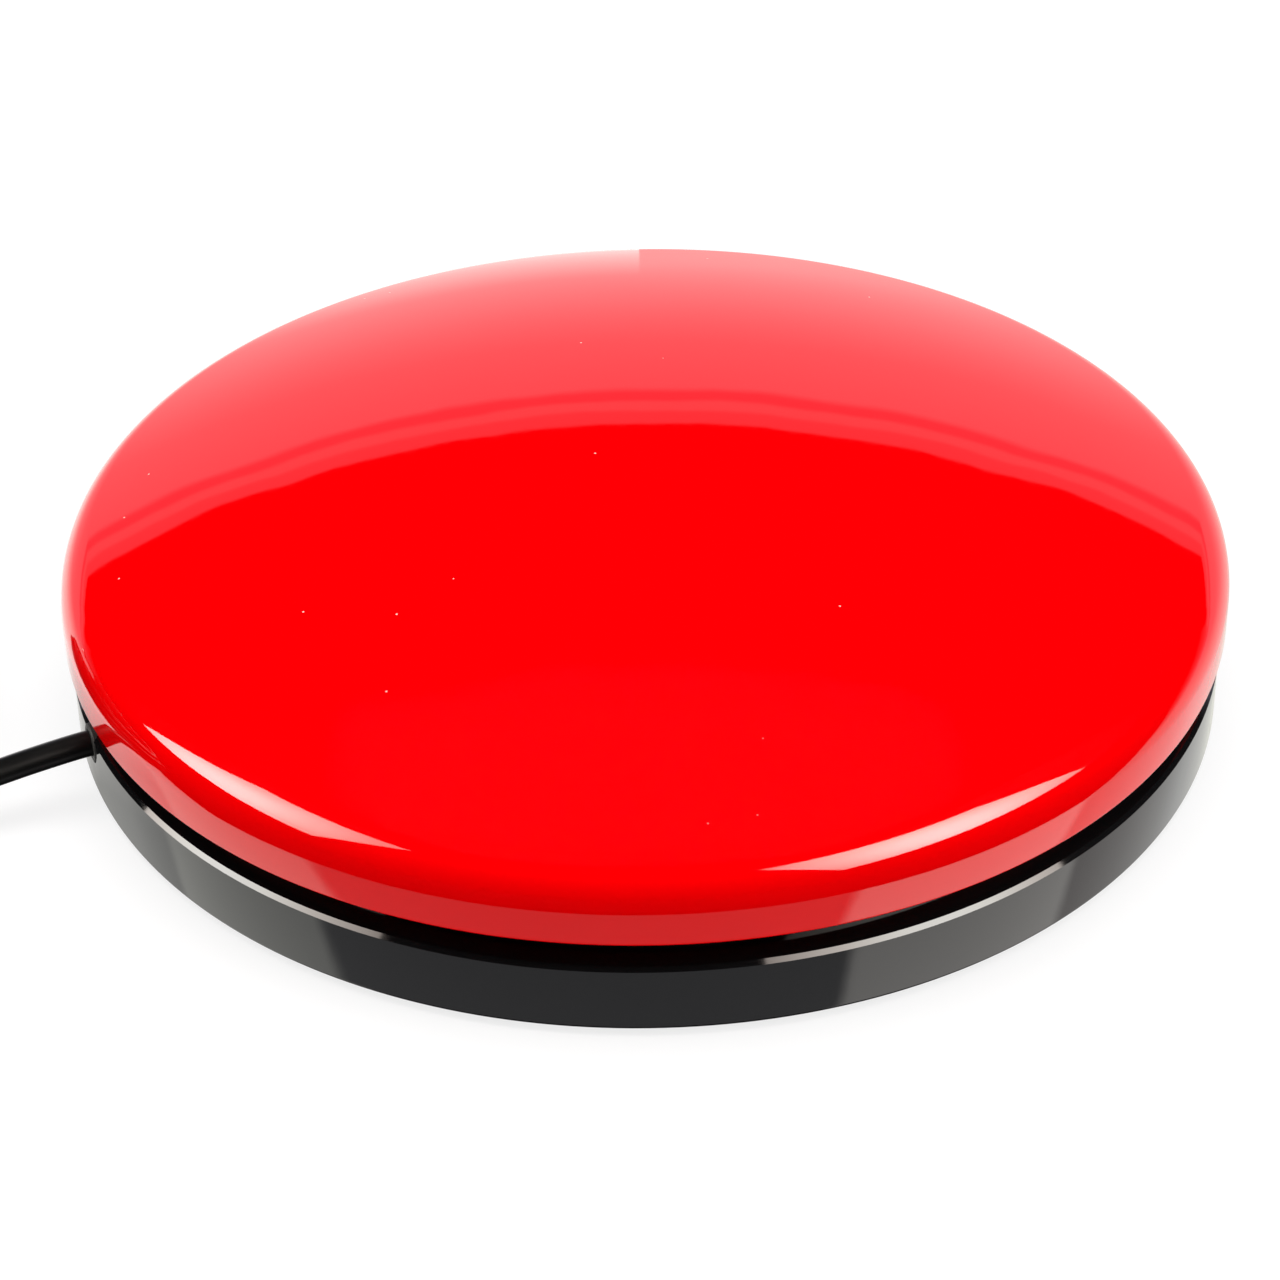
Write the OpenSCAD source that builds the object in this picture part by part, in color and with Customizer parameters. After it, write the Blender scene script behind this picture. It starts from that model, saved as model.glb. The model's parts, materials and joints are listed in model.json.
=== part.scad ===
// Wired press buzzer: a shallow red dome on a flat round base, with a signal lead.
// The cap slides straight down on three guide posts against three coil springs, and its centre
// pusher works the long lever of a snap switch. Origin: bottom centre of the feet, +Z up, and
// the lead leaves the base along -X.

/* [Cap] */
// Outside diameter of the cap
cap_d = 127; // [115:0.5:155]
// Height of the straight skirt
skirt_h = 3.7; // [2.5:0.1:6]
// Radius of the shoulder between skirt and dome
shoulder_r = 5.1; // [4:0.1:7]
// Rise of the dome above the top of the skirt
dome_rise = 15.5; // [14:0.1:22]
// Wall thickness of the cap
cap_wall = 2.5; // [2:0.1:3]
// Open gap between the cap and the base at rest
gap_h = 3.2; // [3:0.1:5]
// Travel of the cap
travel = 2.4; // [1.6:0.1:2.6]

/* [Base] */
// How much smaller than the cap the base is, on the radius
base_inset = 0.5; // [0:0.1:2]
// Height of the base shell
base_h = 7.7; // [7.7:0.1:10]
// Thickness of the base's floor
floor_t = 2.5; // [2:0.1:3]
// Thickness of the base's outer wall and shelf
base_wall = 2.5; // [2:0.1:3]
// Size of the bevel on the base's upper edge
rim_bevel = 0.42; // [0.2:0.02:1]
// Height of the inner collar above the rim
collar_h = 5.5; // [4:0.1:6]
// Thickness of the inner collar
collar_t = 2.4; // [1.8:0.1:3]
// Radial gap between the collar and the cap's skirt
collar_gap = 1; // [0.6:0.1:2]

/* [Feet] */
// Diameter of a foot
foot_d = 12; // [8:0.5:16]
// Height that a foot stands out
foot_stand = 0.8; // [0.5:0.1:2]
// Depth of a foot's recess
foot_sink = 1.2; // [0.8:0.1:1.4]
// Radius of the circle that the feet lie on
foot_circle_r = 50; // [40:0.5:52]

/* [Guides] */
// Radius of the circle that the guides lie on
guide_circle_r = 42; // [38:0.5:46]
// Diameter of a guide post
post_d = 5; // [4:0.1:6]
// Running clearance round a guide post, on the radius
post_gap = 0.06; // [0.02:0.01:0.1]
// Outside diameter of a guide turret
turret_d = 12.4; // [12:0.1:14]
// Height of the guide bore
guide_h = 8; // [6:0.5:9]
// Diameter of the counterbore under a guide
counterbore_d = 9.2; // [8.6:0.1:9.6]
// Height of the counterbore's ceiling above the base's underside
counterbore_h = 5.4; // [5.2:0.1:6]
// Diameter of the guide screws
guide_screw_d = 2.4; // [2:0.1:3]
// Length of the guide screws
guide_screw_l = 10; // [8:0.5:12]

/* [Springs] */
// Diameter of the spring wire
wire_d = 1; // [0.6:0.1:1.2]
// Gap between a spring and its turret, on the radius
spring_gap = 0.4; // [0.3:0.1:0.8]

/* [Switch] */
// Length of the switch body
switch_l = 19.8; // [19.8:0.1:24]
// Width of the switch body
switch_w = 6.4; // [6.4:0.1:8]
// Height of the switch body
switch_h = 10.2; // [10.2:0.1:12]
// Height of the switch body above the floor
switch_lift = 5.7; // [5:0.1:7]
// Thickness of the switch cover
switch_cover_t = 1.2; // [1:0.1:1.4]
// Distance from the lever's pin to the pusher
lever_reach = 22.5; // [20:0.5:26]
// Distance from the lever's pin to the plunger
plunger_reach = 5; // [4:0.1:6]
// Thickness of the lever
lever_t = 0.4; // [0.3:0.05:0.6]
// Width of the lever
lever_w = 2.6; // [2:0.1:2.8]

/* [Lead] */
// Diameter of the signal lead
lead_d = 2.8; // [2.4:0.1:3]
// Height of the lead where it leaves the base
lead_z = 6.8; // [6.6:0.1:7]
// Diameter of the round coil at the middle of its turns
coil_d = 34; // [28:1:40]
// Diameter of the plug's moulded body
plug_body_d = 8; // [7:0.1:9]
// Diameter of the plug's pin
plug_pin_d = 3.5; // [2.5:0.1:6.35]

/* [Hidden] */

$fn = 96;
fit = 0.05;          // clearance between pieces that are fixed to each other
touch = 0.03;        // gap at a contact that opens and closes
eps = 0.5;           // how far a cut runs past a face

// Cap heights and dome
cap_r = cap_d / 2;
base_z = foot_stand;
rim_z = base_z + base_h;
skirt_z = rim_z + gap_h;
shoulder_z = skirt_z + skirt_h;
shoulder_x = cap_r - shoulder_r;
apex_z = shoulder_z + dome_rise;
dome_r = (pow(shoulder_x, 2) + pow(dome_rise, 2) - pow(shoulder_r, 2))
    / (2 * (dome_rise - shoulder_r));
dome_z = apex_z - dome_r;
shoulder_angle = atan2(shoulder_z - dome_z, shoulder_x);

// Base
base_r = cap_r - base_inset;
floor_z = base_z + floor_t;
collar_r = cap_r - cap_wall - collar_gap;
collar_in_r = collar_r - collar_t;
collar_z = rim_z + collar_h;
edge_r = 0.5;
arc_steps = 8;

// Guides
post_r = post_d / 2;
counterbore_z = base_z + counterbore_h;
turret_z = counterbore_z + guide_h;
post_z = counterbore_z - fit;
washer_t = 1;
washer_r = counterbore_d / 2 - 0.3;
head_h = 1.6;
head_r = 2.8;
guide_angles = [0, 120, 240];
seat_drop = 2.7;
seat_z = cap_underside(guide_circle_r) - seat_drop;
seat_r = turret_d / 2 + spring_gap + wire_d + 0.6;
rib_t = 1.6;
rib_drop = 2.4;

// Damper
damper_h = 1.1;
damper_t = 1.8;

// Feet: angle of each from +X
foot_r = foot_d / 2;

// Switch: the pusher comes down at the cap's centre, and the body lies towards the lead
pin_x = -lever_reach;
pin_r = 0.5;
hub_r = 1;
hub_gap = 0.06;
switch_x0 = pin_x - 1.5;
switch_x1 = switch_x0 + switch_l;
switch_z0 = floor_z + switch_lift;
switch_z1 = switch_z0 + switch_h;
switch_y0 = -switch_w / 2;
switch_y1 = switch_w / 2 - switch_cover_t;
pin_z = switch_z1 + 0.6;
ear_l = 3;
ear_z = pin_z + 1.1;
ear_gap = lever_w / 2 + 0.15;
lever_angle = atan(travel / lever_reach);
lever_tip = 0.6;
pad_z = pin_z + (lever_reach + lever_tip) * tan(lever_angle) + lever_t / 2 / cos(lever_angle) + touch;
pad_r = 3.5;
pad_h = 2.1;
pad_stem_r = 1.5;
pad_stem_gap = 0.2;
pad_stem_h = cap_underside(0) - pad_z - pad_h - pad_stem_gap;
pusher_r = 4.5;

// Switch inside
cavity_z0 = switch_z0 + 3.2;
cavity_z1 = switch_z1 - 1.2;
cavity_wall = 1;
plunger_x = pin_x + plunger_reach;
plunger_r = 1.1;
plunger_travel = travel * plunger_reach / lever_reach;
plunger_z1 = pin_z + plunger_reach * tan(lever_angle)
    - (lever_t / 2 + plunger_r + touch) / cos(lever_angle) + plunger_r;
plunger_z0 = switch_z0 + 6;
plunger_flange_r = 1.7;
blade_x0 = pin_x + 1.3;
blade_x1 = switch_x1 - 2.4;
blade_root_r = 0.25;
blade_pivot_x = blade_x0 + blade_root_r;
blade_t = 0.25;
blade_w = 2.4;
blade_z = plunger_z0 - 0.33 - blade_t;
blade_angle = 4;
contact_x = blade_x1 - 0.8;
contact_r = 0.8;
contact_h = 0.35;
strip_t = 0.4;
strip_w = 3;
tab_z = floor_z + 2;
common_x = blade_x0 - 0.1 - strip_t;
open_x = contact_x - 5.5;
closed_x = blade_x1 + 0.5;
open_contact_z = blade_z - contact_h - (contact_x - blade_pivot_x) * sin(blade_angle) - 0.1;
closed_contact_z = blade_z + blade_t + contact_h + fit;
wall_y = switch_y0 - fit;
wall_t = 2.5;
wall_z = switch_z0 + 4.5;
screw_r = 1.1;
screw_z = switch_z0 + 1.7;
screw_xs = [contact_x - 10.2, contact_x - 0.7];
switch_head_r = 1.6;
switch_head_h = 1.4;

// Lead inside the base
lead_r = lead_d / 2;
lead_hole_r = lead_r + 0.8;
grommet_flange_r = 3.4;
grommet_flange_t = 1.2;
grommet_lip = 0.1;
clamp_x0 = -base_r + 9;
clamp_x1 = clamp_x0 + 6;
clamp_w = 18;
clamp_t = 2.2;
clamp_screw_y = 5.6;
clamp_screw_r = 1.1;
clamp_head_r = 2.1;
clamp_head_h = 1.3;
core_r = 0.55;

// Coil of the spare lead, with its turns side by side in four columns
coil_x = -base_r - 33;
coil_y = coil_d / 2 + 4.4;
tie_t = 0.4;
tie_w = 6;
tie_angle = 60;
turn_step = 2.9;
columns = 4;
layers = 3;
coil_in_r = coil_d / 2 - (columns - 1) / 2 * turn_step - lead_r;
coil_out_r = coil_d / 2 + (columns - 1) / 2 * turn_step + lead_r;
coil_top_z = tie_t + layers * lead_d;
ridge_in_r = coil_in_r + turn_step;
ridge_out_r = coil_out_r - turn_step;
ridge_z = coil_top_z + lead_d;

// The lead's route, from the clamp through the wall and down to the coil
lead_points = [
    [clamp_x1 + 2, 0, lead_z], [clamp_x0 + 4, 0, lead_z], [clamp_x0 - 3, 0, lead_z],
    [-base_r - 0.6, 0, lead_z], [-base_r - 5, 0, 6.4], [-base_r - 9, 0, 5.9],
    [-base_r - 14, 0, 5.1], [-base_r - 19, 0, 3.9], [-base_r - 24, 0, 2.7]
];
signal_points = [
    [clamp_x1 + 2.05, 0.7, lead_z], [clamp_x1 + 3.4, 0.7, lead_z], [clamp_x1 + 6, 1.2, 6.6],
    [clamp_x1 + 10, 2.2, 6.2], [common_x - 11.3, 3, 5.8], [common_x - 6.3, 3, 5.8],
    [common_x - 0.3, 3, 5.8], [open_x - 4.1, 2.6, 5.8], [open_x - 1.7, 1.2, 6],
    [open_x - 0.3, 0.4, 6]
];
return_points = [
    [clamp_x1 + 2.05, -0.7, lead_z], [clamp_x1 + 3.4, -0.7, lead_z], [clamp_x1 + 7, -1, 6.6],
    [clamp_x1 + 12, -1.1, 6.2], [common_x - 8.3, -0.6, 6], [common_x - 3.8, 0, 6],
    [common_x - 0.2, 0, 6]
];
tail_points = [
    [coil_x - 3.5, coil_y - 18.2, 10.2], [coil_x - 8, coil_y - 17.1, 10.7],
    [coil_x - 12, coil_y - 14.9, 11.8], [coil_x - 14.9, coil_y - 11.7, 13.4],
    [coil_x - 16, coil_y - 8.2, 15], [coil_x - 15.7, coil_y - 4.7, 15.6]
];

// Plug, lying on the coil
plug_start = tail_points[5];
plug_angle = 69;
boot_l = 9;
body_l = 16;
sleeve_l = 8.4;
insulator_l = 1;
tip_l = 4.6;
plug_r = plug_pin_d / 2;

function arc(c, r, a0, a1, n = arc_steps) =
    [for (i = [0:n]) let (a = a0 + (a1 - a0) * i / n) [c[0] + r * cos(a), c[1] + r * sin(a)]];
function cap_underside(r) = dome_z + sqrt(pow(dome_r - cap_wall, 2) - pow(r, 2));
function unit(v) = v / norm(v);
function heading(p, i) = unit(p[min(i + 1, len(p) - 1)] - p[max(i - 1, 0)]);
function ring(c, t, r, n) =
    let (side = unit(cross(t, [0, 0, 1])), up = cross(side, t))
    [for (k = [0:n - 1]) c + r * (side * cos(k * 360 / n) + up * sin(k * 360 / n))];

// A round bar swept along points
module tube(points, r, n = 8) {
    rings = [for (i = [0:len(points) - 1]) each ring(points[i], heading(points, i), r, n)];
    last = (len(points) - 1) * n;
    sides = [
        for (i = [0:len(points) - 2], k = [0:n - 1])
            let (a = i * n + k, b = i * n + (k + 1) % n)
            each [[a, b, b + n], [a, b + n, a + n]]
    ];
    ends = [[for (k = [n - 1:-1:0]) k], [for (k = [0:n - 1]) last + k]];
    polyhedron(points = rings, faces = concat(sides, ends), convexity = 4);
}

// A cylinder between two heights
module post(r, z0, z1) {
    translate([0, 0, z0]) cylinder(r = r, h = z1 - z0);
}

// A cylinder along +X
module bar_x(r, x0, x1) {
    translate([x0, 0, 0]) rotate([0, 90, 0]) cylinder(r = r, h = x1 - x0);
}

// A cylinder along +Y
module bar_y(r, y0, y1) {
    translate([0, y0, 0]) rotate([-90, 0, 0]) cylinder(r = r, h = y1 - y0);
}

// A box between two corners
module block(low, high) {
    translate(low) cube(high - low);
}

// A piece repeated at each guide
module at_guides() {
    for (a = guide_angles) rotate([0, 0, a]) translate([guide_circle_r, 0, 0]) children();
}

// The cap as a full solid, smaller by an inset
module cap_solid(inset) {
    rotate_extrude() polygon(concat(
        [[0, skirt_z], [cap_r - inset, skirt_z]],
        arc([shoulder_x, shoulder_z], shoulder_r - inset, 0, shoulder_angle),
        arc([0, dome_z], dome_r - inset, shoulder_angle, 90, 12)
    ));
}

// Posts, seats, ribs and the pusher's post under the cap
module cap_inside() {
    at_guides() {
        post(post_r, post_z, apex_z);
        post(seat_r, seat_z, apex_z);
    }
    post(pusher_r, pad_z + pad_h, apex_z);
    for (a = guide_angles) rotate([0, 0, a])
        block([0, -rib_t / 2, cap_underside(0) - rib_drop], [guide_circle_r, rib_t / 2, apex_z]);
}

module cap_dome() {
    color("red") difference() {
        union() {
            difference() {
                cap_solid(0);
                difference() {
                    cap_solid(cap_wall);
                    post(cap_r, skirt_z - eps, skirt_z);
                }
                post(cap_r - cap_wall, skirt_z - eps, shoulder_z - skirt_h / 2);
            }
            intersection() {
                cap_inside();
                union() {
                    cap_solid(cap_wall / 2);
                    post(guide_circle_r + seat_r + 1, 0, skirt_z + fit);
                }
            }
        }
        at_guides() post(guide_screw_d / 2 + fit / 2, post_z - eps, post_z + guide_screw_l + eps);
        post(pad_stem_r + fit, pad_z, pad_z + pad_h + pad_stem_h + fit);
    }
}

module guide_screws() {
    color("silver") at_guides() {
        post(head_r, post_z - washer_t - head_h, post_z - washer_t);
        post(guide_screw_d / 2, post_z - washer_t - fit, post_z - washer_t + guide_screw_l);
    }
}

module guide_washers() {
    color("gainsboro") at_guides() difference() {
        post(washer_r, post_z - washer_t, post_z);
        post(guide_screw_d / 2 + fit, post_z - washer_t - eps, post_z + eps);
    }
}

module pusher_pad() {
    color("dimgray") {
        post(pad_r, pad_z, pad_z + pad_h);
        post(pad_stem_r, pad_z + pad_h - eps, pad_z + pad_h + pad_stem_h);
    }
}

// The base's wall, floor, shelf and collar, cut through from the axis
module base_profile() {
    polygon(concat(
        [[0, base_z], [base_r - edge_r, base_z]],
        arc([base_r - edge_r, base_z + edge_r], edge_r, -90, 0, 3),
        [
            [base_r, rim_z - rim_bevel], [base_r - rim_bevel, rim_z],
            [collar_r, rim_z], [collar_r, collar_z], [collar_in_r, collar_z],
            [collar_in_r, rim_z - base_wall], [base_r - base_wall, rim_z - base_wall],
            [base_r - base_wall, floor_z], [0, floor_z]
        ]
    ));
}

// Upright wall that carries the switch, with two gussets behind it
module switch_wall() {
    block([switch_x0 - 2, wall_y - wall_t, floor_z - eps], [switch_x1 + 2, wall_y, wall_z]);
    for (x = [switch_x0, switch_x1])
        translate([x - rib_t / 2, wall_y - wall_t, floor_z]) rotate([90, 0, 90])
            linear_extrude(rib_t) polygon([
                [fit, -eps], [fit, wall_z - floor_z - 2], [-5, -eps]
            ]);
}

module base_tray() {
    color([0.06, 0.06, 0.065]) difference() {
        union() {
            rotate_extrude() base_profile();
            at_guides() post(turret_d / 2, base_z + eps, turret_z);
            switch_wall();
            block([clamp_x0, -clamp_w / 2, floor_z - eps], [clamp_x1, clamp_w / 2, lead_z]);
        }
        at_guides() {
            post(counterbore_d / 2, base_z - eps, counterbore_z);
            post(post_r + post_gap, base_z, turret_z + eps);
        }
        for (a = [45:90:315]) rotate([0, 0, a]) translate([foot_circle_r, 0, 0])
            post(foot_r + fit, base_z - eps, base_z + foot_sink);
        translate([0, 0, lead_z]) bar_x(lead_hole_r, -base_r - eps, -collar_in_r + eps * 2);
        translate([0, 0, lead_z]) bar_x(lead_r + fit, clamp_x0 - eps, clamp_x1 + eps);
        for (y = [-clamp_screw_y, clamp_screw_y]) translate([(clamp_x0 + clamp_x1) / 2, y, 0])
            post(clamp_screw_r + fit / 2, floor_z, lead_z + eps);
        for (x = screw_xs) translate([x, 0, screw_z])
            bar_y(screw_r + fit / 2, wall_y - wall_t - eps, wall_y + eps);
    }
}

module damper_ring() {
    color([0.1, 0.1, 0.1]) difference() {
        post(collar_in_r + damper_t, collar_z, collar_z + damper_h);
        post(collar_in_r, collar_z - eps, collar_z + damper_h + eps);
    }
}

// A round rubber foot with a softened lower edge
module foot(angle) {
    color([0.12, 0.12, 0.12]) rotate([0, 0, angle]) translate([foot_circle_r, 0, 0])
        rotate_extrude() polygon(concat(
            [[0, 0], [foot_r - edge_r, 0]],
            arc([foot_r - edge_r, edge_r], edge_r, -90, 0, 3),
            [[foot_r, base_z + foot_sink], [0, base_z + foot_sink]]
        ));
}

module front_left_foot() foot(225);
module front_right_foot() foot(315);
module rear_left_foot() foot(135);
module rear_right_foot() foot(45);

module cord_grommet() {
    flange_x = -collar_in_r + 0.3;
    color([0.09, 0.09, 0.09]) translate([0, 0, lead_z]) difference() {
        union() {
            bar_x(lead_hole_r - fit, -base_r - grommet_lip, flange_x + fit);
            bar_x(grommet_flange_r, flange_x, flange_x + grommet_flange_t);
        }
        bar_x(lead_r + fit, -base_r - grommet_lip - eps, flange_x + grommet_flange_t + eps);
    }
}

module cord_clamp() {
    color([0.16, 0.16, 0.17]) difference() {
        block([clamp_x0, -clamp_w / 2, lead_z + fit], [clamp_x1, clamp_w / 2, lead_z + clamp_t]);
        translate([0, 0, lead_z]) bar_x(lead_r + fit, clamp_x0 - eps, clamp_x1 + eps);
        for (y = [-clamp_screw_y, clamp_screw_y]) translate([(clamp_x0 + clamp_x1) / 2, y, 0])
            post(clamp_screw_r + fit, lead_z - eps, lead_z + clamp_t + eps);
    }
}

module clamp_screws() {
    color("silver") for (y = [-clamp_screw_y, clamp_screw_y])
        translate([(clamp_x0 + clamp_x1) / 2, y, 0]) {
            post(clamp_head_r, lead_z + clamp_t, lead_z + clamp_t + clamp_head_h);
            post(clamp_screw_r, floor_z + fit, lead_z + clamp_t + fit);
        }
}

// A return spring's envelope, round its turret
module return_spring(angle) {
    in_r = turret_d / 2 + spring_gap;
    color("lightsteelblue") rotate([0, 0, angle]) translate([guide_circle_r, 0, 0]) difference() {
        post(in_r + wire_d, floor_z, seat_z);
        post(in_r, floor_z - eps, seat_z + eps);
    }
}

module right_return_spring() return_spring(guide_angles[0]);
module rear_return_spring() return_spring(guide_angles[1]);
module front_return_spring() return_spring(guide_angles[2]);

// Ears that hold the lever's pin, and the holes that case and cover share
module switch_ear(y0, y1) {
    block([switch_x0, y0, switch_z1 - eps], [switch_x0 + ear_l, y1, ear_z]);
}

module switch_holes() {
    for (x = screw_xs) translate([x, 0, screw_z]) bar_y(screw_r + fit, -switch_w, switch_w);
    translate([pin_x, 0, pin_z]) bar_y(pin_r + fit / 2, -switch_w / 2 - eps, switch_w / 2 + eps);
}

// A slot through the switch body's base for a contact strip
module strip_slot(x) {
    block(
        [x - fit, -strip_w / 2 - fit, switch_z0 - eps],
        [x + strip_t + fit, strip_w / 2 + fit, cavity_z0 + eps]
    );
}

module switch_case() {
    color([0.13, 0.13, 0.14]) difference() {
        union() {
            block([switch_x0, switch_y0, switch_z0], [switch_x1, switch_y1, switch_z1]);
            switch_ear(switch_y0, -ear_gap);
            switch_ear(ear_gap, switch_y1);
        }
        block(
            [switch_x0 + cavity_wall, switch_y0 + cavity_wall, cavity_z0],
            [switch_x1 - cavity_wall, switch_y1 + eps, cavity_z1]
        );
        block(
            [switch_x0 - eps, -ear_gap, pin_z - hub_r - 0.2],
            [switch_x0 + ear_l, ear_gap, switch_z1 + eps]
        );
        translate([plunger_x, 0, 0]) post(plunger_r + fit, cavity_z1 - eps, switch_z1 + eps);
        for (x = [common_x, open_x, closed_x]) strip_slot(x);
        switch_holes();
    }
}

module switch_cover() {
    color([0.2, 0.2, 0.21]) difference() {
        union() {
            block([switch_x0, switch_y1, switch_z0], [switch_x1, switch_w / 2, switch_z1]);
            switch_ear(switch_y1, switch_w / 2);
        }
        switch_holes();
    }
}

module switch_screws() {
    color("silver") for (x = screw_xs) translate([x, 0, screw_z]) {
        bar_y(screw_r, wall_y - wall_t + fit, switch_w / 2 + fit);
        bar_y(switch_head_r, switch_w / 2, switch_w / 2 + switch_head_h);
    }
}

module lever_pin() {
    color("silver") translate([pin_x, 0, pin_z]) bar_y(pin_r, -switch_w / 2 + fit, switch_w / 2 - fit);
}

module switch_lever() {
    color("gainsboro") translate([pin_x, 0, pin_z]) rotate([0, -lever_angle, 0]) difference() {
        union() {
            bar_y(hub_r, -lever_w / 2, lever_w / 2);
            block(
                [0, -lever_w / 2, -lever_t / 2],
                [(lever_reach + lever_tip) / cos(lever_angle), lever_w / 2, lever_t / 2]
            );
        }
        bar_y(pin_r + hub_gap, -lever_w, lever_w);
    }
}

module switch_plunger() {
    color("firebrick") translate([plunger_x, 0, 0]) {
        rotate_extrude() polygon(concat(
            arc([0, plunger_z0 + plunger_r], plunger_r, -90, 0),
            arc([0, plunger_z1 - plunger_r], plunger_r, 0, 90)
        ));
        post(plunger_flange_r, cavity_z1 - fit - 1, cavity_z1 - fit);
    }
}

// A springy strip with a rolled root that it swings about, and a contact on each face
module contact_blade() {
    color("goldenrod") {
        translate([blade_pivot_x, 0, blade_z + blade_t / 2])
            bar_y(blade_root_r, -blade_w / 2, blade_w / 2);
        block([blade_pivot_x, -blade_w / 2, blade_z], [blade_x1, blade_w / 2, blade_z + blade_t]);
        translate([contact_x, 0, 0])
            post(contact_r, blade_z - contact_h, blade_z + blade_t + contact_h);
    }
}

// A contact strip: an upright tab that goes out through the switch body's base
module strip(x, z1) {
    block([x, -strip_w / 2, tab_z], [x + strip_t, strip_w / 2, z1]);
}

module common_terminal() {
    color("darkgoldenrod") strip(common_x, blade_z + 0.8);
}

module normally_open_terminal() {
    arm_z = open_contact_z - contact_h;
    color("darkgoldenrod") {
        strip(open_x, arm_z);
        block([open_x, -strip_w / 2, arm_z - strip_t], [contact_x + contact_r, strip_w / 2, arm_z]);
        translate([contact_x, 0, 0]) post(contact_r, arm_z - fit, open_contact_z);
    }
}

module normally_closed_terminal() {
    arm_z = closed_contact_z + contact_h;
    color("darkgoldenrod") {
        strip(closed_x, arm_z + strip_t);
        block(
            [contact_x - contact_r, -strip_w / 2, arm_z],
            [closed_x + strip_t, strip_w / 2, arm_z + strip_t]
        );
        translate([contact_x, 0, 0]) post(contact_r, closed_contact_z, arm_z + fit);
    }
}

module signal_wire() {
    color("white") tube(signal_points, core_r, 6);
}

module return_wire() {
    color("navy") tube(return_points, core_r, 6);
}

module signal_lead() {
    color([0.08, 0.08, 0.08]) tube(lead_points, lead_r);
}

// The coil's outer shape, with two turns lying on the middle of it
module coil_shape() {
    translate([coil_x, coil_y, 0]) rotate_extrude() polygon([
        [coil_in_r, tie_t], [coil_out_r, tie_t], [coil_out_r, coil_top_z],
        [ridge_out_r, coil_top_z], [ridge_out_r, ridge_z], [ridge_in_r, ridge_z],
        [ridge_in_r, coil_top_z], [coil_in_r, coil_top_z]
    ]);
}

module lead_coil() {
    color([0.08, 0.08, 0.08]) coil_shape();
}

module lead_tail() {
    color([0.08, 0.08, 0.08]) tube(tail_points, lead_r);
}

module coil_tie() {
    color([0.2, 0.2, 0.2]) difference() {
        translate([coil_x, coil_y, 0]) rotate([0, 0, tie_angle]) block(
            [coil_in_r - 0.8, -tie_w / 2, 0],
            [coil_out_r + tie_t, tie_w / 2, ridge_z + tie_t]
        );
        coil_shape();
    }
}

// A piece on the plug's axis, which starts where the lead ends
module on_plug() {
    translate(plug_start) rotate([0, 90, plug_angle]) children();
}

module plug_body() {
    color([0.07, 0.07, 0.07]) on_plug() rotate_extrude() polygon([
        [0, 0], [lead_r + 0.5, 0], [lead_r + 1.2, boot_l], [plug_body_d / 2 - 0.6, boot_l],
        [plug_body_d / 2, boot_l + 0.6], [plug_body_d / 2, boot_l + body_l - 0.6],
        [plug_body_d / 2 - 0.6, boot_l + body_l], [0, boot_l + body_l]
    ]);
}

module plug_sleeve() {
    color("silver") on_plug() post(plug_r, boot_l + body_l, boot_l + body_l + sleeve_l);
}

module plug_insulator() {
    z0 = boot_l + body_l + sleeve_l;
    color([0.05, 0.05, 0.05]) on_plug() post(plug_r, z0, z0 + insulator_l);
}

module plug_tip() {
    z0 = boot_l + body_l + sleeve_l + insulator_l;
    color("silver") on_plug() rotate_extrude() polygon([
        [0, z0], [plug_r, z0], [plug_r, z0 + 0.8], [plug_r - 0.5, z0 + 1.5],
        [plug_r, z0 + 2.4], [plug_r - 0.3, z0 + 3.4], [0.4, z0 + tip_l], [0, z0 + tip_l]
    ]);
}

cap_dome();
guide_screws();
guide_washers();
pusher_pad();
base_tray();
damper_ring();
front_left_foot();
front_right_foot();
rear_left_foot();
rear_right_foot();
cord_grommet();
cord_clamp();
clamp_screws();
right_return_spring();
rear_return_spring();
front_return_spring();
switch_case();
switch_cover();
switch_screws();
lever_pin();
switch_lever();
switch_plunger();
contact_blade();
common_terminal();
normally_open_terminal();
normally_closed_terminal();
signal_wire();
return_wire();
signal_lead();
lead_coil();
lead_tail();
coil_tie();
plug_body();
plug_sleeve();
plug_insulator();
plug_tip();
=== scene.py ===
import json
import math
import bpy
from mathutils import Matrix, Vector


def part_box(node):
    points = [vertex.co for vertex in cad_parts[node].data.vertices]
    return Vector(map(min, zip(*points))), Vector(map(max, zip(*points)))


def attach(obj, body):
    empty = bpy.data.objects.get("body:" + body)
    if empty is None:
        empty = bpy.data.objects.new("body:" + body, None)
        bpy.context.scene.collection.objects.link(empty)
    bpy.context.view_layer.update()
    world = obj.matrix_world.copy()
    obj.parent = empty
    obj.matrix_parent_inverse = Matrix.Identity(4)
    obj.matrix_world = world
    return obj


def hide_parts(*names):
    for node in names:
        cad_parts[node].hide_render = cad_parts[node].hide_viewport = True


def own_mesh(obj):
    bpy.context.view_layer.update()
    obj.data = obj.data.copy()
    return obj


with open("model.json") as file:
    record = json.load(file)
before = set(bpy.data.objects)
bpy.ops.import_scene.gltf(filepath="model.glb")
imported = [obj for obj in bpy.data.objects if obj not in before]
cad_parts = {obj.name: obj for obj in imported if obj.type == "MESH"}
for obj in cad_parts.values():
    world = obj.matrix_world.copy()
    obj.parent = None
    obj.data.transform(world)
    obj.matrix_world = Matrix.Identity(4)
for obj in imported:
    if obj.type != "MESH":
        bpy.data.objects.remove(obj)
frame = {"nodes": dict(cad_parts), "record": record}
bpy.ops.object.select_all(action="DESELECT")
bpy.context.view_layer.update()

MM = 0.001
# Points nearer than this are one point
MERGE = 0.002 * MM

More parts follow.
